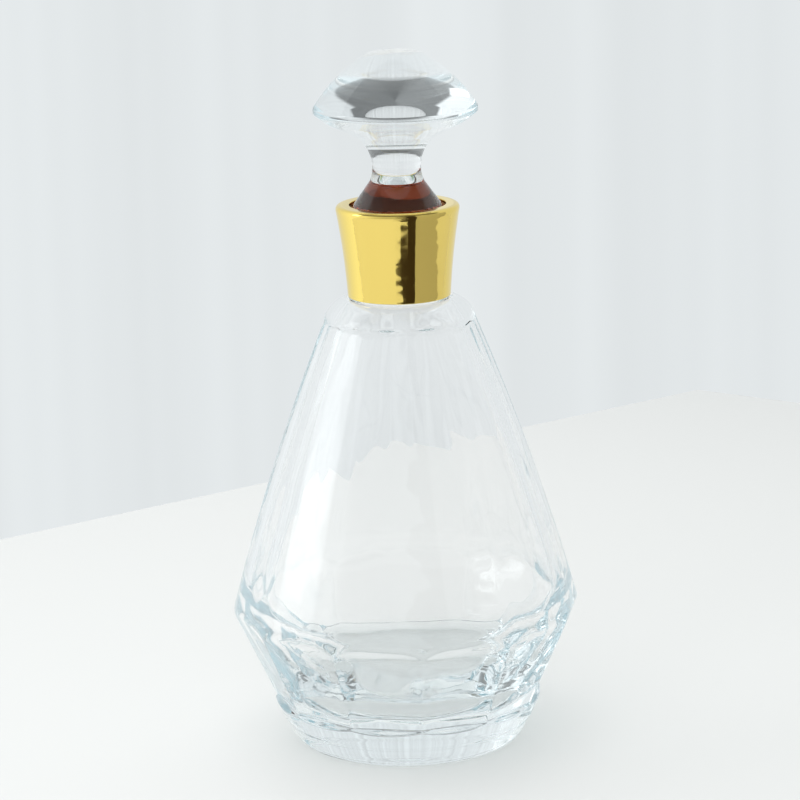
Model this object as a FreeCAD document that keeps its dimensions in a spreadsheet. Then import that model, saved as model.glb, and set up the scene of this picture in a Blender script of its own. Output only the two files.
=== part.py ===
import FreeCAD, Part
import math
import os

import Sketcher

# Stoppered glass bottle: a heavy clear bottle with soft facets above its widest ridge and deeper ones
# below it, a bright metal collar cemented over its flared neck, and a solid glass mushroom stopper with
# a ground plug. Millimetres, +Z up, origin at the middle of the flat base.

Vector = FreeCAD.Vector

# Driving dimensions: name, value and meaning. Radii are from the bottle's axis, heights from its base,
# and a "curve" is the radius of an arc in the outline.
DRIVING = [
    ("base_radius", 47.3, "bottle: base, before its edge is rounded"),
    ("base_round", 5.0, "bottle: rounding of the base's edge"),
    ("foot_radius", 55.6, "bottle: top of the plain round foot"),
    ("foot_height", 16.4, "bottle: top of the plain round foot"),
    ("ridge_radius", 73.2, "bottle: widest ridge"),
    ("ridge_height", 55.5, "bottle: widest ridge"),
    ("ridge_round", 2.5, "bottle: rounding of the ridge"),
    ("side_curve", 1070.0, "bottle: bulge of the long upper side"),
    ("shoulder_radius", 31.6, "bottle: where the side turns over into the shoulder"),
    ("shoulder_height", 179.9, "bottle: where the side turns over into the shoulder"),
    ("shoulder_curve", 11.6, "bottle: shoulder"),
    ("neck_root_radius", 20.45, "bottle: root of the neck"),
    ("neck_root_height", 189.2, "bottle: root of the neck"),
    ("neck_curve", 320.0, "bottle: hollow flare of the neck"),
    ("lip_radius", 25.05, "bottle: outside of the lip"),
    ("lip_height", 227.2, "bottle: lip"),
    ("lip_round", 1.2, "bottle: rounding of the lip's outer edge"),
    ("bore_mouth_radius", 19.3, "bottle: ground bore at the lip"),
    ("bore_mouth_round", 0.5, "bottle: rounding of the ground bore's mouth"),
    ("bore_end_radius", 17.0, "bottle: lower end of the ground bore"),
    ("bore_end_height", 192.5, "bottle: lower end of the ground bore"),
    ("throat_radius", 17.4, "bottle: lower end of the throat under the bore"),
    ("throat_height", 185.8, "bottle: lower end of the throat under the bore"),
    ("throat_round", 2.0, "bottle: rounding of the throat's lower end"),
    ("hollow_shoulder_radius", 28.2, "bottle: hollow under the shoulder"),
    ("hollow_shoulder_height", 177.6, "bottle: hollow under the shoulder"),
    ("hollow_shoulder_curve", 14.0, "bottle: hollow under the shoulder"),
    ("hollow_side_curve", 1080.0, "bottle: bulge of the hollow's long side"),
    ("hollow_ridge_radius", 66.8, "bottle: widest place of the hollow"),
    ("hollow_ridge_height", 61.5, "bottle: widest place of the hollow"),
    ("hollow_ridge_round", 9.0, "bottle: rounding of the hollow's widest place"),
    ("bowl_curve", 190.0, "bottle: bowl at the bottom of the hollow"),
    ("floor_radius", 36.0, "bottle: floor of the hollow, before its edge is rounded"),
    ("floor_height", 22.5, "bottle: floor of the hollow, so also the thickness of the base"),
    ("floor_round", 12.0, "bottle: rounding of the floor's edge"),
    ("upper_facet_low", 72.3, "bottle: axis to the middle of an upper facet at the ridge"),
    ("upper_facet_high", 30.8, "bottle: axis to the middle of an upper facet at the shoulder"),
    ("lower_facet_low", 53.8, "bottle: axis to the middle of a lower facet at its lower end"),
    ("lower_facet_low_height", 19.1, "bottle: lower end of the lower facets"),
    ("lower_facet_high", 73.8, "bottle: axis to the middle of a lower facet's cut where it ends"),
    ("lower_facet_high_height", 64.0, "bottle: where a lower facet's cut ends, clear of the side"),
    ("runout_radius", 55.2, "bottle: where a lower facet has run out on the foot"),
    ("runout_height", 16.5, "bottle: where a lower facet has run out on the foot"),
    ("runout_curve", 3.2, "bottle: hollow in which a lower facet runs out"),
    ("facet_cut_radius", 90.0, "bottle: how far out the cuts for the facets reach"),
    ("facet_count", 12, "bottle: facets above the ridge, and as many below it"),
    ("collar_wall", 0.8, "collar: thickness"),
    ("cement", 0.05, "collar: thickness of the cement under it"),
    ("collar_foot_height", 190.0, "collar: lower edge"),
    ("collar_mouth_radius", 19.9, "collar: opening in its top"),
    ("collar_top_round", 2.0, "collar: rounding of its top outer edge"),
    ("collar_inner_round", 1.25, "collar: rounding of the same edge inside"),
    ("plug_end_height", 198.5, "stopper: lower end of the ground plug"),
    ("plug_end_round", 1.5, "stopper: rounding of the plug's lower end"),
    ("ground_clearance", 0.08, "stopper: gap between the ground plug and the ground bore"),
    ("skirt_height", 226.5, "stopper: widest place of the flared skirt, just above the plug"),
    ("skirt_round", 1.6, "stopper: rounding of the skirt's widest place"),
    ("skirt_top_radius", 11.3, "stopper: top of the skirt, where the stem starts"),
    ("skirt_top_height", 237.4, "stopper: top of the skirt, where the stem starts"),
    ("stem_curve", 14.8, "stopper: hollow of the stem"),
    ("stem_top_radius", 11.7, "stopper: top of the stem"),
    ("stem_top_height", 250.4, "stopper: top of the stem"),
    ("head_foot_curve", 14.0, "stopper: hollow foot of the head"),
    ("head_foot_radius", 17.6, "stopper: inner end of the head's flat underside"),
    ("head_foot_height", 256.8, "stopper: inner end of the head's flat underside"),
    ("head_under_radius", 29.0, "stopper: outer end of the head's flat underside"),
    ("head_under_height", 262.4, "stopper: outer end of the head's flat underside"),
    ("rim_radius", 33.8, "stopper: rim of the head"),
    ("rim_low_height", 266.2, "stopper: lower edge of the rim"),
    ("rim_high_height", 268.2, "stopper: upper edge of the rim"),
    ("rim_round", 1.5, "stopper: rounding of the rim"),
    ("head_top_curve", 66.0, "stopper: bulging top of the head"),
    ("crown_radius", 11.0, "stopper: edge of the crown"),
    ("crown_height", 290.2, "stopper: edge of the crown"),
    ("crown_round", 6.0, "stopper: rounding of the crown's edge"),
    ("crown_curve", 51.0, "stopper: crown"),
    ("stopper_top_height", 291.4, "stopper: highest point"),
]

# Dimensions that follow from the driving ones.
FOLLOWING = [
    ("collar_inner_foot_radius", "=neck_root_radius + cement", "collar: inside at its lower edge"),
    ("collar_foot_radius", "=collar_inner_foot_radius + collar_wall", "collar: outside at its lower edge"),
    ("collar_inner_top_radius", "=lip_radius + cement", "collar: inside at its top"),
    ("collar_top_radius", "=collar_inner_top_radius + collar_wall", "collar: outside at its top"),
    ("collar_inner_top_height", "=lip_height + cement", "collar: underside of its top"),
    ("collar_top_height", "=collar_inner_top_height + collar_wall", "collar: top"),
    (
        "bore_taper",
        "=(bore_mouth_radius - bore_end_radius) / (lip_height - bore_end_height)",
        "bottle: how much the ground bore widens for each millimetre of height",
    ),
    (
        "skirt_radius",
        "=bore_mouth_radius - ground_clearance - bore_taper * (lip_height - skirt_height)",
        "stopper: widest place of the flared skirt",
    ),
    (
        "plug_end_radius",
        "=skirt_radius - bore_taper * (skirt_height - plug_end_height)",
        "stopper: lower end of the ground plug",
    ),
]

doc = FreeCAD.newDocument("stoppered_bottle")
sheet = doc.addObject("Spreadsheet::Sheet", "Sizes")
for row, (alias, content, meaning) in enumerate(DRIVING + FOLLOWING, start=1):
    sheet.set(f"A{row}", meaning)
    sheet.set(f"B{row}", str(content))
    sheet.setAlias(f"B{row}", alias)
doc.recompute()


def size(alias):
    """A dimension's value, or 0 for None, which stands for the axis or the base plane."""
    return float(sheet.get(alias)) if alias else 0.0


def new_body(label):
    body = doc.addObject("PartDesign::Body", label)
    body.Label = label
    return body


def origin_part(body, role):
    return next(item for item in body.Origin.OriginFeatures if item.Role == role)


def arc_middle(start, end, curve):
    """The middle point of the shorter arc from start to end. A positive curve bulges to the right."""
    chord = end - start
    half = chord.Length / 2
    rise = abs(curve) - math.sqrt(curve * curve - half * half)
    right = Vector(chord.y, -chord.x, 0).normalize()
    return (start + end) / 2 + right * math.copysign(rise, curve)


def outline(body, label, corners, curves):
    """A closed outline in the XZ plane, with every size bound to the sheet.

    corners are (radius name, height name) pairs in order, None for the axis or the base plane. curves maps
    a corner's number to the arc that leaves it: the curve's name, and 1 if it bulges to the right or -1.
    """
    sketch = body.newObject("Sketcher::SketchObject", label)
    sketch.AttachmentSupport = (origin_part(body, "XZ_Plane"), "")
    sketch.MapMode = "FlatFace"
    points = [Vector(size(radius), size(height), 0) for radius, height in corners]
    count = len(points)
    starts, ends = [], []
    for i, start in enumerate(points):
        end = points[(i + 1) % count]
        if i in curves:
            name, side = curves[i]
            arc = Part.Arc(start, arc_middle(start, end, side * size(name)), end)
            edge = sketch.addGeometry(arc, False)
            forward = sketch.getPoint(edge, 1).distanceToPoint(start) < 1e-6
            starts.append((edge, 1 if forward else 2))
            ends.append((edge, 2 if forward else 1))
            radius_rule = sketch.addConstraint(Sketcher.Constraint("Radius", edge, size(name)))
            sketch.setExpression(f"Constraints[{radius_rule}]", f"Sizes.{name}")
        else:
            edge = sketch.addGeometry(Part.LineSegment(start, end), False)
            starts.append((edge, 1))
            ends.append((edge, 2))
    for i, (radius, height) in enumerate(corners):
        sketch.addConstraint(Sketcher.Constraint("Coincident", *ends[i - 1], *starts[i]))
        for kind, name, axis in (("DistanceX", radius, -2), ("DistanceY", height, -1)):
            if name:
                rule = Sketcher.Constraint(kind, -1, 1, *starts[i], size(name))
                sketch.setExpression(f"Constraints[{sketch.addConstraint(rule)}]", f"Sizes.{name}")
            else:
                sketch.addConstraint(Sketcher.Constraint("PointOnObject", *starts[i], axis))
    doc.recompute()
    return sketch


def turn(body, kind, label, sketch):
    """Revolves an outline about the axis: kind is Revolution to add it, or Groove to cut it out."""
    feature = body.newObject(f"PartDesign::{kind}", label)
    feature.Profile = sketch
    feature.ReferenceAxis = (sketch, ["V_Axis"])
    feature.Angle = 360
    doc.recompute()
    return feature


def ring_edges(shape, radius, height):
    """The names of the shape's edges that lie on the circle of this radius at this height."""
    names = []
    for number, edge in enumerate(shape.Edges, start=1):
        middle = edge.valueAt((edge.FirstParameter + edge.LastParameter) / 2)
        flat = edge.BoundBox.ZLength < 1e-4
        if flat and abs(middle.z - height) < 1e-3 and abs(math.hypot(middle.x, middle.y) - radius) < 1e-3:
            names.append(f"Edge{number}")
    return names


def round_rings(body, rings):
    """Rounds circular edges: each ring is its radius, height and rounding by name."""
    for radius, height, rounding in rings:
        base = body.Tip
        fillet = body.newObject("PartDesign::Fillet", f"{body.Label}_{rounding}")
        fillet.Base = (base, ring_edges(base.Shape, size(radius), size(height)))
        fillet.setExpression("Radius", f"Sizes.{rounding}")
        doc.recompute()


def cut_facets(body, label, corners, curves):
    """Cuts one facet with a straight cut across the bottle, and repeats it round the axis."""
    sketch = outline(body, f"{label}_outline", corners, curves)
    before = body.Tip.Shape.Volume
    cut = body.newObject("PartDesign::Pocket", f"{label}_cut")
    cut.Profile = sketch
    cut.Type = "ThroughAll"
    cut.SideType = "Symmetric"
    doc.recompute()
    one_facet = before - cut.Shape.Volume
    ring = body.newObject("PartDesign::PolarPattern", f"{label}_ring")
    ring.Originals = [cut]
    ring.Axis = (origin_part(body, "Z_Axis"), [""])
    ring.Angle = 360
    ring.setExpression("Occurrences", "Sizes.facet_count")
    body.Tip = ring
    doc.recompute()
    print(f"{label}: one cut {one_facet:.0f} mm3, all {before - ring.Shape.Volume:.0f} mm3")


def make_bottle():
    """The bottle: one piece of clear glass, its outside turned and faceted, its hollow cut last."""
    body = new_body("glass_bottle")
    outside = outline(
        body,
        "bottle_outside",
        [
            (None, None),
            ("base_radius", None),
            ("foot_radius", "foot_height"),
            ("ridge_radius", "ridge_height"),
            ("shoulder_radius", "shoulder_height"),
            ("neck_root_radius", "neck_root_height"),
            ("lip_radius", "lip_height"),
            (None, "lip_height"),
        ],
        {3: ("side_curve", 1), 4: ("shoulder_curve", 1), 5: ("neck_curve", -1)},
    )
    turn(body, "Revolution", "bottle_turned", outside)
    round_rings(
        body,
        [
            ("base_radius", None, "base_round"),
            ("ridge_radius", "ridge_height", "ridge_round"),
            ("lip_radius", "lip_height", "lip_round"),
        ],
    )
    cut_facets(
        body,
        "upper_facets",
        [
            ("upper_facet_low", "ridge_height"),
            ("facet_cut_radius", "ridge_height"),
            ("facet_cut_radius", "shoulder_height"),
            ("upper_facet_high", "shoulder_height"),
        ],
        {3: ("side_curve", -1)},
    )
    cut_facets(
        body,
        "lower_facets",
        [
            ("runout_radius", "runout_height"),
            ("facet_cut_radius", "runout_height"),
            ("facet_cut_radius", "lower_facet_high_height"),
            ("lower_facet_high", "lower_facet_high_height"),
            ("lower_facet_low", "lower_facet_low_height"),
        ],
        {4: ("runout_curve", 1)},
    )
    hollow = outline(
        body,
        "bottle_hollow",
        [
            (None, "floor_height"),
            ("floor_radius", "floor_height"),
            ("hollow_ridge_radius", "hollow_ridge_height"),
            ("hollow_shoulder_radius", "hollow_shoulder_height"),
            ("throat_radius", "throat_height"),
            ("bore_end_radius", "bore_end_height"),
            ("bore_mouth_radius", "lip_height"),
            (None, "lip_height"),
        ],
        {1: ("bowl_curve", 1), 2: ("hollow_side_curve", 1), 3: ("hollow_shoulder_curve", 1)},
    )
    turn(body, "Groove", "bottle_hollowed", hollow)
    round_rings(
        body,
        [
            ("floor_radius", "floor_height", "floor_round"),
            ("hollow_ridge_radius", "hollow_ridge_height", "hollow_ridge_round"),
            ("throat_radius", "throat_height", "throat_round"),
            ("bore_mouth_radius", "lip_height", "bore_mouth_round"),
        ],
    )
    return body


def make_collar():
    """The bright metal collar: a thin flared sleeve that turns in over the lip."""
    body = new_body("gold_collar")
    section = outline(
        body,
        "collar_section",
        [
            ("collar_inner_foot_radius", "collar_foot_height"),
            ("collar_foot_radius", "collar_foot_height"),
            ("collar_top_radius", "collar_top_height"),
            ("collar_mouth_radius", "collar_top_height"),
            ("collar_mouth_radius", "collar_inner_top_height"),
            ("collar_inner_top_radius", "collar_inner_top_height"),
        ],
        {1: ("neck_curve", -1), 5: ("neck_curve", 1)},
    )
    turn(body, "Revolution", "collar_turned", section)
    round_rings(
        body,
        [
            ("collar_top_radius", "collar_top_height", "collar_top_round"),
            ("collar_inner_top_radius", "collar_inner_top_height", "collar_inner_round"),
        ],
    )
    return body


def make_stopper():
    """The stopper: one piece of solid glass, with a ground plug, a skirt, a waisted stem and a head."""
    body = new_body("glass_stopper")
    section = outline(
        body,
        "stopper_section",
        [
            (None, "plug_end_height"),
            ("plug_end_radius", "plug_end_height"),
            ("skirt_radius", "skirt_height"),
            ("skirt_top_radius", "skirt_top_height"),
            ("stem_top_radius", "stem_top_height"),
            ("head_foot_radius", "head_foot_height"),
            ("head_under_radius", "head_under_height"),
            ("rim_radius", "rim_low_height"),
            ("rim_radius", "rim_high_height"),
            ("crown_radius", "crown_height"),
            (None, "stopper_top_height"),
        ],
        {
            3: ("stem_curve", -1),
            4: ("head_foot_curve", -1),
            8: ("head_top_curve", 1),
            9: ("crown_curve", 1),
        },
    )
    turn(body, "Revolution", "stopper_turned", section)
    round_rings(
        body,
        [
            ("plug_end_radius", "plug_end_height", "plug_end_round"),
            ("skirt_radius", "skirt_height", "skirt_round"),
            ("rim_radius", "rim_low_height", "rim_round"),
            ("rim_radius", "rim_high_height", "rim_round"),
            ("crown_radius", "crown_height", "crown_round"),
        ],
    )
    return body


def check_document():
    """Stops if any object of the document has failed to compute."""
    doc.recompute()
    for item in doc.Objects:
        if "Invalid" in item.State or "Error" in item.State:
            raise RuntimeError(f"{item.Name} is {item.State}")


def write_parts(bodies):
    """Writes each sub-part to its own STEP file, named after it."""
    os.makedirs("parts", exist_ok=True)
    for body in bodies:
        shape = body.Shape
        if shape.isNull() or not shape.isValid() or len(shape.Solids) != 1:
            raise RuntimeError(f"{body.Label} is not one valid solid")
        box = shape.optimalBoundingBox(False)
        print(f"{body.Label}: {shape.Volume / 1000:.1f} cm3, z {box.ZMin:.2f} to {box.ZMax:.2f}")
        shape.exportStep(f"parts/{body.Label}.step")


sub_parts = [make_bottle(), make_collar(), make_stopper()]
check_document()
write_parts(sub_parts)
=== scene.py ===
import math

import bpy
import numpy as np
from mathutils import Matrix, Vector, noise


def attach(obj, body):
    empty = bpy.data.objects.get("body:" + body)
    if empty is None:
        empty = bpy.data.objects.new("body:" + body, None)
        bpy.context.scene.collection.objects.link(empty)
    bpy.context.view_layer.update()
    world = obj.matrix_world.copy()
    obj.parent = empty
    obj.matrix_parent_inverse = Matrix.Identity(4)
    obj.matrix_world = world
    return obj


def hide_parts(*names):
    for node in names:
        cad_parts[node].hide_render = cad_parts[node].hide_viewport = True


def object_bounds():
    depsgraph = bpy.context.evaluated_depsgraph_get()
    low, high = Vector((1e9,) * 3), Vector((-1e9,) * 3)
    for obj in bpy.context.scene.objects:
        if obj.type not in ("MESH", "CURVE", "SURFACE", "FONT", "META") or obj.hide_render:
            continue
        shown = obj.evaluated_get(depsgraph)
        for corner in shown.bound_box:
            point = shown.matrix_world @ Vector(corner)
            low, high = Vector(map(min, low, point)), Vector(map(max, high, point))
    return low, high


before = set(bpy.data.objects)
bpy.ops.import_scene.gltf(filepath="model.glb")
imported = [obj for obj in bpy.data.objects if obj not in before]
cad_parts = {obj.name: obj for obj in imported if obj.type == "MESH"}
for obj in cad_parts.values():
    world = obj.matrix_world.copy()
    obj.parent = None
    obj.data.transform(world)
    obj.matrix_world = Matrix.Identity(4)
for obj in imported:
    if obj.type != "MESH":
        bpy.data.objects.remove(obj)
cad_low, cad_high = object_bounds()

# Lengths here are in millimetres, as in the part's own source, and meshes are scaled to metres.
MM = 0.001
FACETS = 12
HALF_FACET = math.pi / FACETS
COLUMNS_PER_FACET = 18
COLLAR_COLUMNS, STOPPER_COLUMNS = 192, 160
ARC_STEPS, ROUND_STEPS = 64, 8
# A rounded corner takes at most this share of each edge that meets in it.
LONGEST_ROUND = 0.49

# ---------------------------------------------------------------- outlines


def arc_centre(start, end, curve):
    """Centre of the shorter arc from start to end, which bulges to the right of that way if curve > 0."""
    chord = end - start
    half = np.hypot(*chord) / 2
    right = np.array([chord[1], -chord[0]]) / (2 * half)
    reach = math.copysign(math.sqrt(curve * curve - half * half), curve)
    return (start + end) / 2 - right * reach


def arc(start, end, curve, count):
    """Points on the arc that arc_centre describes, or on the straight line if curve is 0."""
    start, end = np.array(start, float), np.array(end, float)
    if not curve:
        return [start + (end - start) * i / count for i in range(count + 1)]
    centre = arc_centre(start, end, curve)
    first = math.atan2(*(start - centre)[::-1])
    half = np.hypot(*(end - start)) / 2
    turn = 2 * math.asin(half / abs(curve)) * math.copysign(1, curve)
    angles = [first + turn * i / count for i in range(count + 1)]
    return [centre + abs(curve) * np.array([math.cos(a), math.sin(a)]) for a in angles]


def outline(corners, step):
    """An open outline along corners, each (radius, height, rounding, curve of the edge that leaves it)."""
    edges = []
    for (r0, z0, _, curve), (r1, z1, *_) in zip(corners, corners[1:]):
        edges.append(np.array(arc((r0, z0), (r1, z1), curve, ARC_STEPS)))
    points = []
    for i, edge in enumerate(edges):
        along = np.concatenate([[0], np.cumsum(np.hypot(*np.diff(edge, axis=0).T))])
        low = min(corners[i][2], along[-1] * LONGEST_ROUND)
        high = along[-1] - min(corners[i + 1][2], along[-1] * LONGEST_ROUND)
        count = max(2, math.ceil((high - low) / step))
        places = np.linspace(low, high, count + 1)
        run = [np.array([np.interp(p, along, edge[:, k]) for k in (0, 1)]) for p in places]
        if points and corners[i][2]:
            before, corner, after = points[-1], edge[0], run[0]
            for k in range(1, ROUND_STEPS):
                t = k / ROUND_STEPS
                points.append(before * (1 - t) ** 2 + corner * 2 * t * (1 - t) + after * t * t)
        points += run if not points or corners[i][2] else run[1:]
    return points


def soft_min(a, b, width):
    """The smaller of a and b, with the crease between them rounded over about width."""
    share = np.clip(0.5 + 0.5 * (b - a) / width, 0, 1)
    return b * (1 - share) + a * share - width * share * (1 - share)


def smooth(value, low, high):
    """0 at low and 1 at high, with a soft start and end. low may be the larger."""
    share = np.clip((value - low) / (high - low), 0, 1)
    return share * share * (3 - 2 * share)


# ---------------------------------------------------------------- meshes


def grid_mesh(name, rings, materials, slot_of_row=lambda row: 0, looped=False):
    """A closed mesh from rings of points round the axis: capped at both ends, or its last ring joined to
    its first if looped."""
    columns, rows = len(rings[0]), len(rings)
    points = [p for ring in rings for p in ring]
    faces, slots = [], []
    for i in range(rows if looped else rows - 1):
        n = (i + 1) % rows
        for j in range(columns):
            k = (j + 1) % columns
            faces.append((i * columns + j, i * columns + k, n * columns + k, n * columns + j))
            slots.append(slot_of_row(i))
    caps = [] if looped else [(0, True), (rows - 1, False)]
    for row, turned in caps:
        middle = len(points)
        points.append(np.mean(rings[row], axis=0))
        for j in range(columns):
            k = (j + 1) % columns
            a, b = row * columns + j, row * columns + k
            faces.append((middle, b, a) if turned else (middle, a, b))
            slots.append(slot_of_row(min(row, rows - 2)))
    mesh = bpy.data.meshes.new(name)
    mesh.from_pydata([Vector(p) * MM for p in points], [], faces)
    for material in materials:
        mesh.materials.append(material)
    mesh.polygons.foreach_set("material_index", slots)
    mesh.polygons.foreach_set("use_smooth", [True] * len(faces))
    mesh.validate()
    mesh.update()
    piece = bpy.data.objects.new(name, mesh)
    bpy.context.collection.objects.link(piece)
    return piece


def lathe_rings(points, columns, ripple=None):
    """Rings round the axis through an outline's points. ripple(angle, radius, height) widens them."""
    rings = []
    for radius, height in points:
        ring = []
        for j in range(columns):
            angle = 2 * math.pi * j / columns
            r = radius + (ripple(angle, radius, height) if ripple else 0)
            ring.append((r * math.cos(angle), r * math.sin(angle), height))
        rings.append(ring)
    return rings


# ---------------------------------------------------------------- the bottle

BASE_RADIUS, BASE_ROUND = 47.3, 4.2
BASE_SIDE = (52.2, 9.7)
FOOT_RADIUS, FOOT_TOP = 55.6, 16.4
RIDGE_RADIUS, RIDGE = 73.2, 55.5
SHOULDER_RADIUS, SHOULDER, SHOULDER_CURVE = 31.6, 179.9, 11.6
UPPER_FACET_LOW, UPPER_FACET_HIGH, SIDE_CURVE = 72.3, 30.8, 1070.0
LOWER_FACET_LOW, LOWER_FACET_LOW_HEIGHT = 53.8, 19.1
LOWER_FACET_HIGH, LOWER_FACET_HIGH_HEIGHT = 73.8, 64.0
NECK_ROOT_RADIUS, NECK_ROOT, NECK_CURVE = 20.45, 189.2, 320.0
LIP_RADIUS, LIP = 25.05, 227.2
BORE_MOUTH_RADIUS, BORE_END_RADIUS, BORE_END = 19.3, 17.0, 192.5
THROAT_RADIUS, THROAT = 17.4, 186.0
HOLLOW_SHOULDER_RADIUS, HOLLOW_SHOULDER, HOLLOW_SHOULDER_CURVE = 28.2, 177.6, 14.0
HOLLOW_RIDGE_RADIUS, HOLLOW_RIDGE, HOLLOW_SIDE_CURVE = 66.8, 61.5, 1080.0
BOWL_CURVE = 190.0
FLOOR_RADIUS, FLOOR = 36.0, 22.5
# An outline that would end on the axis ends this far from it, and the cap closes it.
AXIS_GAP = 0.6

# The layer seen under the collar covers the neck from here up.
BOND_LOW = 208.0

# Waves of the inner wall, and finer chill marks in four patches round the heel, at these angles in degrees.
WAVE_GRAIN, CHILL_GRAIN, CHILL_DEPTH = 17.0, 3.0, 0.42
CHILL_MARKS, CHILL_HALF_WIDTH = (-118.0, -28.0, 62.0, 152.0), 12.0

# Rows near the ridge rise by this much in the middle of a facet, because the crease between an upper and a
# lower facet does.
CREASE_RISE, CREASE_HEIGHT, CREASE_SPREAD = 2.0, 56.5, 5.0


def circle_radius(z, start, end, curve):
    """Radius at height z of the outward bulging circle of this curve through start and end."""
    centre = arc_centre(np.array(start, float), np.array(end, float), curve)
    return centre[0] + np.sqrt(curve * curve - (z - centre[1]) ** 2)


def outer_radius(turn, z):
    """Radius of the faceted side at the angle turn from the middle of a facet, and at height z."""
    round_upper = circle_radius(z, (RIDGE_RADIUS, RIDGE), (SHOULDER_RADIUS, SHOULDER), SIDE_CURVE)
    flat_upper = circle_radius(z, (UPPER_FACET_LOW, RIDGE), (UPPER_FACET_HIGH, SHOULDER), SIDE_CURVE)
    upper = soft_min(round_upper, flat_upper / np.cos(turn), 0.5)
    round_lower = FOOT_RADIUS + (z - FOOT_TOP) * (RIDGE_RADIUS - FOOT_RADIUS) / (RIDGE - FOOT_TOP)
    rise = (z - LOWER_FACET_LOW_HEIGHT) / (LOWER_FACET_HIGH_HEIGHT - LOWER_FACET_LOW_HEIGHT)
    flat_lower = LOWER_FACET_LOW + rise * (LOWER_FACET_HIGH - LOWER_FACET_LOW)
    fade = smooth(z, FOOT_TOP - 0.2, LOWER_FACET_LOW_HEIGHT + 0.6)
    flat_lower = (round_lower + 0.3) * (1 - fade) + flat_lower * fade
    lower = soft_min(round_lower, flat_lower / np.cos(turn), 0.6)
    return soft_min(upper, lower, 1.4)


def columns_of_a_facet():
    """Angles from the middle of a facet, closer together towards its ribs."""
    shares = (np.arange(COLUMNS_PER_FACET) + 0.5) / COLUMNS_PER_FACET * 2 - 1
    return HALF_FACET * (0.35 * shares + 0.65 * np.sin(shares * math.pi / 2))


def side_heights():
    """Heights of the rows on the faceted side, closer together where its shape turns."""
    low = np.linspace(10.4, 22, 26)
    below_ridge = np.linspace(22, 50, 24)[1:]
    ridge = np.linspace(50, 64, 36)[1:]
    return np.concatenate([low, below_ridge, ridge, np.linspace(64, SHOULDER, 54)[1:]])


def noise_round(angles, radius, height, grain):
    """Noise of this grain at every angle, on the circle of this radius and height."""
    places = [Vector((radius * math.cos(a), radius * math.sin(a), height)) / grain for a in angles]
    return np.array([noise.noise(place) for place in places])


def chill_share(angles):
    """1 in the middle of a chill mark and 0 away from them all."""
    share = np.zeros(angles.shape)
    for middle in CHILL_MARKS:
        away = (angles - math.radians(middle) + math.pi) % (2 * math.pi) - math.pi
        share += np.exp(-((away / math.radians(CHILL_HALF_WIDTH)) ** 4))
    return share


def make_bottle(glass, ground, bond):
    turns = columns_of_a_facet()
    angles = np.concatenate([2 * HALF_FACET * k + turns for k in range(FACETS)])
    turns = np.tile(turns, FACETS)
    rings, kinds = [], []

    def add(radius, height, kind="glass"):
        radius = np.broadcast_to(radius, angles.shape)
        height = np.broadcast_to(height, angles.shape)
        rings.append(np.stack([radius * np.cos(angles), radius * np.sin(angles), height], -1))
        kinds.append(kind)

    base = [(AXIS_GAP, 0, 0, 0), (BASE_RADIUS, 0, BASE_ROUND, 0), (*BASE_SIDE, 0, 0)]
    for r, z in outline(base, 1.5):
        add(r, z)

    facet_middle = 1 - (turns / HALF_FACET) ** 2
    for z in side_heights():
        near_ridge = np.exp(-(((z - CREASE_HEIGHT) / CREASE_SPREAD) ** 2))
        height = z + CREASE_RISE * facet_middle * near_ridge
        add(outer_radius(turns, height), height)

    top = [
        (SHOULDER_RADIUS, SHOULDER, 0, SHOULDER_CURVE),
        (NECK_ROOT_RADIUS, NECK_ROOT, 0.8, -NECK_CURVE),
        (LIP_RADIUS, LIP, 1.6, 0),
        (BORE_MOUTH_RADIUS, LIP, 0.6, 0),
        (BORE_END_RADIUS, BORE_END, 1.0, 0),
        (THROAT_RADIUS, THROAT, 1.7, -HOLLOW_SHOULDER_CURVE),
        (HOLLOW_SHOULDER_RADIUS, HOLLOW_SHOULDER, 0, 0),
    ]
    for r, z in outline(top, 1.3)[1:-1]:
        kind = "glass"
        if r > NECK_ROOT_RADIUS and BOND_LOW < z < LIP + 0.1:
            kind = "bond"
        elif r < BORE_MOUTH_RADIUS and BORE_END < z < LIP - 0.4:
            kind = "ground"
        if r > NECK_ROOT_RADIUS - 0.55 and z > SHOULDER - 0.4:
            # The facets run out on the shoulder. A known fault: the same cut goes on up the neck, inside the
            # collar. Above 208 mm it narrows the neck, and above 220 mm it passes through bore and plug.
            fade = smooth(z, SHOULDER - 0.3, SHOULDER + 2.1)
            facet = UPPER_FACET_HIGH + (SHOULDER - z) * 0.34 + 1.6 * fade
            r = soft_min(r, facet / np.cos(turns), 0.9)
        add(r, z, kind)

    hollow = [
        (HOLLOW_SHOULDER_RADIUS, HOLLOW_SHOULDER, 0, -HOLLOW_SIDE_CURVE),
        (HOLLOW_RIDGE_RADIUS, HOLLOW_RIDGE, 10.0, -BOWL_CURVE),
        (FLOOR_RADIUS, FLOOR, 13.0, 0),
        (AXIS_GAP, FLOOR, 0, 0),
    ]
    chill = chill_share(angles)
    for r, z in outline(hollow, 1.6):
        # The wall follows the facets softly: less so low down and under the shoulder.
        depth = 0.985 + 0.02 * smooth(z, 60, 24) + 0.02 * smooth(z, 160, 178)
        radius = soft_min(r, r * depth / np.cos(turns), 1.2)
        wave = 0.55 * smooth(z, 90, 30) + 0.22
        rough = wave * noise_round(angles, r, z, WAVE_GRAIN)
        marks = CHILL_DEPTH * noise_round(angles, r, z, CHILL_GRAIN) * chill
        rough += marks * smooth(z, 72, 54) * smooth(r, 30, 42)
        add(radius + rough * smooth(r, 0, 20), z + rough * smooth(z, 32, 23))

    order = {"glass": 0, "ground": 1, "bond": 2}
    return grid_mesh("bottle", rings, [glass, ground, bond], lambda row: order[kinds[row]])


# ---------------------------------------------------------------- collar and stopper


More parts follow.
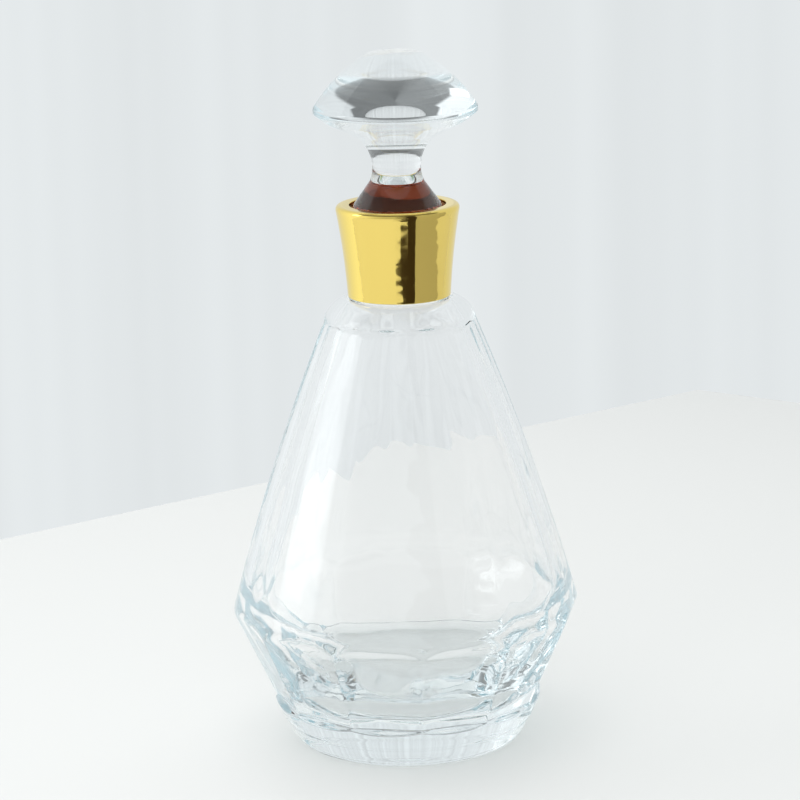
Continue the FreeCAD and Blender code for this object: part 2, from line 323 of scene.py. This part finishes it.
def make_collar(gold):
    inner_foot, inner_top = 20.5, 25.1
    wall, foot, mouth, under = 0.8, 190.0, 19.9, 227.25
    corners = [
        (inner_foot, foot, 0.3, 0),
        (inner_foot + wall, foot, 0.3, -NECK_CURVE),
        (inner_top + wall, under + wall, 2.6, 0),
        (mouth, under + wall, 0.35, 0),
        (mouth, under, 0.3, 0),
        (inner_top, under, 1.3, NECK_CURVE),
        (inner_foot, foot, 0.3, 0),
    ]
    points = outline(corners, 0.8)

    def ripple(angle, radius, height):
        place = Vector((math.cos(angle) * 2.0, math.sin(angle) * 2.0, height / 5.0))
        return 0.03 * noise.noise(place) + 0.015 * noise.noise(place * 2.3)

    # The loop closes straight from the last point but one to the first, which chamfers the foot inside.
    rings = lathe_rings(points, COLLAR_COLUMNS, ripple)[:-1]
    return grid_mesh("collar", rings, [gold], looped=True)


def make_stopper(glass, ground):
    plug_end, skirt = 198.5, 226.5
    corners = [
        (0.4, plug_end, 0, 0),
        (17.31, plug_end, 1.6, 0),
        (19.17, skirt, 1.6, 0),  # the skirt, then the stem's hollow and the head's hollow foot
        (11.3, 237.4, 0.5, -14.8),
        (11.7, 250.4, 0.25, -14.0),
        (17.6, 256.8, 0.2, 0),  # the head's straight underside, then its rim
        (29.0, 262.4, 1.6, 0),
        (33.75, 266.2, 0.75, 0),
        (33.75, 268.2, 0.6, 66.0),  # the head's bulging top and its crown
        (11.0, 290.2, 0.9, 51.0),
        (0.4, 291.4, 0, 0),
    ]
    points = outline(corners, 0.8)

    def kind(row):
        """1, ground glass, on the plug's side."""
        radius, height = points[min(row + 1, len(points) - 1)]
        return 1 if plug_end + 0.5 < height < skirt - 0.1 and radius > 16.5 else 0

    return grid_mesh("stopper", lathe_rings(points, STOPPER_COLUMNS), [glass, ground], kind)


# ---------------------------------------------------------------- materials


def new_material(name):
    material = bpy.data.materials.new(name)
    material.use_nodes = True
    nodes = material.node_tree.nodes
    return material, material.node_tree.links, nodes, nodes["Principled BSDF"]


def add_bump(links, nodes, shader, scale, distance, strength=1.0, stretch=(1, 1, 1)):
    """Noise in the object's own coordinates as a bump."""
    place = nodes.new("ShaderNodeTexCoord")
    squeeze = nodes.new("ShaderNodeMapping")
    squeeze.inputs["Scale"].default_value = stretch
    pattern = nodes.new("ShaderNodeTexNoise")
    pattern.inputs["Scale"].default_value = scale
    pattern.inputs["Detail"].default_value = 2.0
    bump = nodes.new("ShaderNodeBump")
    bump.inputs["Distance"].default_value = distance
    bump.inputs["Strength"].default_value = strength
    links.new(place.outputs["Object"], squeeze.inputs["Vector"])
    links.new(squeeze.outputs["Vector"], pattern.inputs["Vector"])
    links.new(pattern.outputs["Fac"], bump.inputs["Height"])
    links.new(bump.outputs["Normal"], shader.inputs["Normal"])


def glass_material(name, colour, roughness, bump):
    material, links, nodes, shader = new_material(name)
    shader.inputs["Base Color"].default_value = colour
    shader.inputs["Transmission Weight"].default_value = 1.0
    shader.inputs["IOR"].default_value = 1.52
    shader.inputs["Roughness"].default_value = roughness
    if bump:
        add_bump(links, nodes, shader, bump[0], bump[1])
    path = nodes.new("ShaderNodeLightPath")
    through = nodes.new("ShaderNodeBsdfTransparent")
    through.inputs["Color"].default_value = (0.97, 0.98, 0.98, 1)
    mix = nodes.new("ShaderNodeMixShader")
    links.new(path.outputs["Is Shadow Ray"], mix.inputs["Fac"])
    links.new(shader.outputs["BSDF"], mix.inputs[1])
    links.new(through.outputs["BSDF"], mix.inputs[2])
    links.new(mix.outputs["Shader"], nodes["Material Output"].inputs["Surface"])
    absorb = nodes.new("ShaderNodeVolumeAbsorption")
    absorb.inputs["Color"].default_value = (0.74, 0.92, 0.97, 1)
    absorb.inputs["Density"].default_value = 2.2
    links.new(absorb.outputs["Volume"], nodes["Material Output"].inputs["Volume"])
    return material


def gold_material():
    material, links, nodes, shader = new_material("polished_gold")
    shader.inputs["Base Color"].default_value = (0.93, 0.71, 0.19, 1)
    shader.inputs["Metallic"].default_value = 1.0
    shader.inputs["Roughness"].default_value = 0.06
    add_bump(links, nodes, shader, 60, 0.0001, 0.6, (1, 1, 0.25))
    return material


def bond_material():
    material, links, nodes, shader = new_material("gold_seen_through_glass")
    shader.inputs["Base Color"].default_value = (0.45, 0.065, 0.008, 1)
    shader.inputs["Metallic"].default_value = 0.3
    shader.inputs["Roughness"].default_value = 0.3
    add_bump(links, nodes, shader, 160, 0.0003)
    return material


# ---------------------------------------------------------------- stage, light and camera

CAMERA_AZIMUTH, CAMERA_ELEVATION, CAMERA_ROLL = 10.0, 13.57, 1.285
CAMERA_DISTANCE, CAMERA_LENS = 1.36, 147.1


def camera_way(azimuth, elevation):
    a, e = math.radians(azimuth), math.radians(elevation)
    return Vector((math.sin(a) * math.cos(e), -math.cos(a) * math.cos(e), math.sin(e)))


def stage_place(right, away, height):
    """World position of a point this far to the right of the bottle's axis and away from the camera."""
    turn = math.radians(CAMERA_AZIMUTH)
    x = right * math.cos(turn) - away * math.sin(turn)
    y = right * math.sin(turn) + away * math.cos(turn)
    return Vector((x, y, height))


def stage_mesh(name, points, faces, colour, roughness):
    mesh = bpy.data.meshes.new(name)
    mesh.from_pydata([stage_place(*point) for point in points], [], faces)
    material, _, _, shader = new_material(name)
    shader.inputs["Base Color"].default_value = colour
    shader.inputs["Roughness"].default_value = roughness
    mesh.materials.append(material)
    thing = bpy.data.objects.new(name, mesh)
    bpy.context.collection.objects.link(thing)
    return thing


def make_floor():
    """A white table top with one corner behind the bottle."""
    corners = [(0.18, 0.61), (-1.30, -0.52), (-0.75, -1.45), (1.05, -1.45), (1.60, -0.38)]
    points = [(right, away, -0.0002) for right, away in corners]
    stage_mesh("floor", points, [(0, 1, 2, 3, 4)], (0.62, 0.624, 0.614, 1), 0.6)


def make_flag(name, rows, colour):
    """An upright card that only reflections see. Each row is its left end, its right end and its height."""
    points = [(*end, height) for left, right, height in rows for end in (left, right)]
    faces = [(i, i + 1, i + 3, i + 2) for i in range(0, len(points) - 2, 2)]
    card = stage_mesh(name, points, faces, colour, 1.0)
    card.visible_camera = card.visible_diffuse = card.visible_transmission = False
    card.visible_shadow = False


def make_painted_reflections():
    """Painted reflections for the collar: a dark card where the room in front of the table is dark, with a
    wavering left edge, and a grey card for a grey wall to its right.
    """
    corner, right_end = (0.205, -0.30), (0.75, 0.12)
    card_height, row_height = 0.5, 0.002
    dark = []
    for i in range(round(card_height / row_height) + 1):
        height = i * row_height
        wander = 0.055 * math.sin(height * 130) + 0.02 * math.sin(height * 410 + 1.0)
        dark.append(((0.035 + wander, corner[1]), corner, height))
    # A painted dark reflection: only mirror reflections see this card.
    make_flag("painted_dark_reflection", dark, (0.03, 0.018, 0.01, 1))
    grey = [(corner, right_end, height) for height in (0.0, card_height)]
    # A painted grey reflection, also seen only in mirror reflections.
    make_flag("painted_grey_reflection", grey, (0.42, 0.41, 0.40, 1))


def ramp_node(nodes, stops):
    """Colour ramp through (share, level) stops."""
    ramp = nodes.new("ShaderNodeValToRGB")
    elements = ramp.color_ramp.elements
    while len(elements) < len(stops):
        elements.new(0.5)
    for element, (share, level) in zip(elements, stops):
        element.position = share
        element.color = (level, level, level, 1)
    return ramp


def make_world():
    """A pale room: bright wall behind, window light on the left, dark ceiling and dark front."""
    world = bpy.data.worlds.new("studio")
    bpy.context.scene.world = world
    world.use_nodes = True
    nodes, links = world.node_tree.nodes, world.node_tree.links

    def calculate(operation, first, second=0.0):
        node = nodes.new("ShaderNodeMath")
        node.operation = operation
        for socket, value in zip(node.inputs, (first, second)):
            if isinstance(value, float):
                socket.default_value = value
            else:
                links.new(value, socket)
        return node.outputs["Value"]

    def steps(value, low, high, soft):
        """1 between low and high, fading to 0 over soft."""
        rise = nodes.new("ShaderNodeMapRange")
        rise.interpolation_type = "SMOOTHSTEP"
        fall = nodes.new("ShaderNodeMapRange")
        fall.interpolation_type = "SMOOTHSTEP"
        for node, start, end in ((rise, low - soft, low), (fall, high + soft, high)):
            links.new(value, node.inputs["Value"])
            node.inputs["From Min"].default_value = start
            node.inputs["From Max"].default_value = end
        return calculate("MULTIPLY", rise.outputs["Result"], fall.outputs["Result"])

    place = nodes.new("ShaderNodeTexCoord")
    turn = nodes.new("ShaderNodeMapping")
    turn.vector_type = "VECTOR"
    turn.inputs["Rotation"].default_value = (0, 0, math.radians(-CAMERA_AZIMUTH))
    split = nodes.new("ShaderNodeSeparateXYZ")
    links.new(place.outputs["Generated"], turn.inputs["Vector"])
    links.new(turn.outputs["Vector"], split.inputs["Vector"])
    towards = calculate("MULTIPLY", split.outputs["Y"], -1.0)
    azimuth = calculate("MULTIPLY", calculate("ARCTAN2", split.outputs["X"], towards), 180 / math.pi)
    elevation = calculate("MULTIPLY", calculate("ARCSINE", split.outputs["Z"]), 180 / math.pi)

    levels = [
        (-180, 0.80), (-150, 0.84), (-125, 0.98), (-100, 1.15), (-62, 1.0), (-40, 0.70), (-25, 0.60),
        (30, 0.60), (50, 0.65), (75, 0.75), (130, 0.80), (180, 0.80),
    ]
    ramp = ramp_node(nodes, [(angle / 360 + 0.5, level / 2) for angle, level in levels])
    share = calculate("ADD", calculate("DIVIDE", azimuth, 360.0), 0.5)
    links.new(share, ramp.inputs["Fac"])
    around = calculate("MULTIPLY", ramp.outputs["Color"], 2.0)

    folds = nodes.new("ShaderNodeTexNoise")
    folds.noise_dimensions = "1D"
    folds.inputs["Scale"].default_value = 0.55
    folds.inputs["Detail"].default_value = 2.0
    links.new(azimuth, folds.inputs["W"])
    depth = calculate("ADD", calculate("MULTIPLY", steps(elevation, 6.0, 95.0, 8.0), 0.3), 0.16)
    swing = calculate("MULTIPLY", calculate("SUBTRACT", folds.outputs["Fac"], 0.5), depth)
    around = calculate("MULTIPLY", around, calculate("ADD", swing, 1.0))

    upwards = calculate("MULTIPLY", split.outputs["Z"], 0.96)
    upwards = calculate("ADD", upwards, calculate("MULTIPLY", towards, 0.24))
    aside = calculate("MULTIPLY", calculate("POWER", split.outputs["X"], 2.0), 0.45)
    below_ceiling = steps(calculate("ADD", upwards, aside), -2.0, 0.82, 0.05)
    below_ceiling = calculate("ADD", calculate("MULTIPLY", below_ceiling, 0.73), 0.27)
    around = calculate("MULTIPLY", around, below_ceiling)
    window = calculate(
        "MULTIPLY", steps(azimuth, -90.0, -80.0, 5.0), steps(elevation, 8.0, 34.0, 6.0)
    )
    total = calculate("ADD", around, calculate("MULTIPLY", window, 1.6))
    tint = nodes.new("ShaderNodeVectorMath")
    tint.operation = "MULTIPLY"
    tint.inputs[1].default_value = (0.955, 1.0, 1.015)
    links.new(total, tint.inputs[0])
    links.new(tint.outputs["Vector"], nodes["Background"].inputs["Color"])
    nodes["Background"].inputs["Strength"].default_value = 1.0


def make_light(name, location, target, side, power):
    """A square lamp for solid surfaces: mirror reflections and the view through the glass don't show it."""
    lamp = bpy.data.lights.new(name, "AREA")
    lamp.shape = "SQUARE"
    lamp.size = side
    lamp.energy = power
    light = bpy.data.objects.new(name, lamp)
    light.location = location
    light.rotation_euler = (Vector(target) - Vector(location)).to_track_quat("-Z", "Y").to_euler()
    light.visible_glossy = light.visible_transmission = light.visible_camera = False
    bpy.context.collection.objects.link(light)


def make_camera():
    data = bpy.data.cameras.new("camera")
    data.lens = CAMERA_LENS
    data.clip_start, data.clip_end = 0.1, 50
    camera = bpy.data.objects.new("camera", data)
    bpy.context.collection.objects.link(camera)
    back = camera_way(CAMERA_AZIMUTH, CAMERA_ELEVATION)
    middle = Vector((0, 0, (cad_low.z + cad_high.z) / 2))
    place = Matrix.Translation(middle + back * CAMERA_DISTANCE)
    facing = (-back).to_track_quat("-Z", "Y").to_matrix().to_4x4()
    camera.matrix_world = place @ facing @ Matrix.Rotation(math.radians(-CAMERA_ROLL), 4, "Z")
    data.shift_x, data.shift_y = -0.0022, -0.0019
    bpy.context.scene.camera = camera


# ---------------------------------------------------------------- the scene

glass = glass_material("clear_glass", (1, 1, 1, 1), 0.0, None)
# The ground glass's slight warm tint is a painted reflection: it stands in for the red-brown of the gold
# seen through the neck, on the plug and in the bore.
ground = glass_material("ground_glass", (0.97, 0.94, 0.90, 1), 0.25, (900, 0.0001))
bottle = make_bottle(glass, ground, bond_material())
collar = make_collar(gold_material())
stopper = make_stopper(glass_material("stopper_glass", (1, 1, 1, 1), 0.0, None), ground)

for piece, body, node, slot in (
    (bottle, "bottle", "glass_bottle", "bottle_glass"),
    (collar, "bottle", "gold_collar", "collar_gold"),
    (stopper, "stopper", "glass_stopper", "stopper_glass"),
):
    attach(piece, body)
    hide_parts(node)

make_floor()
make_painted_reflections()
make_world()
make_light("overhead", (-0.3, 0.2, 1.5), (0, 0, 0), 1.4, 19)
make_light("front_fill", (-0.1, -0.9, 1.3), (0, -0.1, 0), 1.2, 12)
make_camera()
scene = bpy.context.scene
scene.view_settings.view_transform = "Standard"
# Light that is guided inside the thick glass needs this many before it comes out again.
scene.cycles.max_bounces = scene.cycles.transmission_bounces = scene.cycles.glossy_bounces = 80
